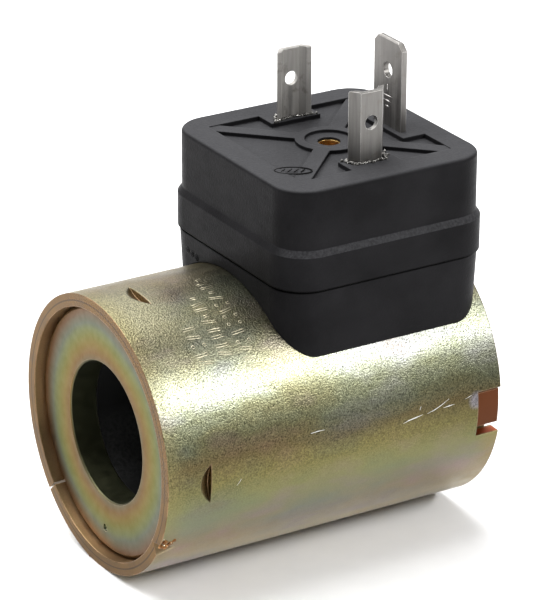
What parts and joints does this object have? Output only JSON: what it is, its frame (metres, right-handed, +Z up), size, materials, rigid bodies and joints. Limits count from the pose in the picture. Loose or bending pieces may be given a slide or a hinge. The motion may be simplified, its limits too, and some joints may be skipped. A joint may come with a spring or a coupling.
{
  "type": "hydraulic cartridge valve solenoid coil",
  "caption": "Solenoid coil for a hydraulic cartridge valve: round steel can with a through bore, and a square moulded connector base with flat blades on its side.",
  "frame": {"origin": "on the bore axis, at mid-length of the steel can", "axes": "+X along the bore, from the staked front face to the keyed rear face; +Z up, towards the connector base"},
  "size_m": [0.0487, 0.036, 0.0625],
  "materials": {
    "chromated_steel": "yellow chromated zinc, satin",
    "chromated_plate": "yellow chromated zinc, rainbow tint",
    "bobbin_plastic": "moulded",
    "enamelled_copper": "enamelled",
    "wrap_tape": "film tape",
    "black_plastic": "fine moulded texture",
    "potting_resin": "cast resin",
    "tinned_metal": "tinned, satin",
    "insert_brass": "turned",
    "sleeve_plastic": "soft sleeve",
    "solder": "soldered"
  },
  "bodies": {
    "root": {"shell": "chromated_steel", "front_pole_plate": "chromated_plate", "rear_pole_plate": "chromated_plate", "bobbin": "bobbin_plastic", "winding": "enamelled_copper", "winding_wrap": "wrap_tape", "coil_overmould": "black_plastic", "connector_base": "black_plastic", "potting": "potting_resin", "terminal_1": "tinned_metal", "terminal_2": "tinned_metal", "terminal_earth": "tinned_metal", "threaded_insert": "insert_brass", "lead_start": "enamelled_copper", "lead_finish": "enamelled_copper", "sleeve_start": "sleeve_plastic", "sleeve_finish": "sleeve_plastic", "solder_start": "solder", "solder_finish": "solder", "earth_strap": "tinned_metal", "earth_rivet": "insert_brass"}
  },
  "joints": []
}
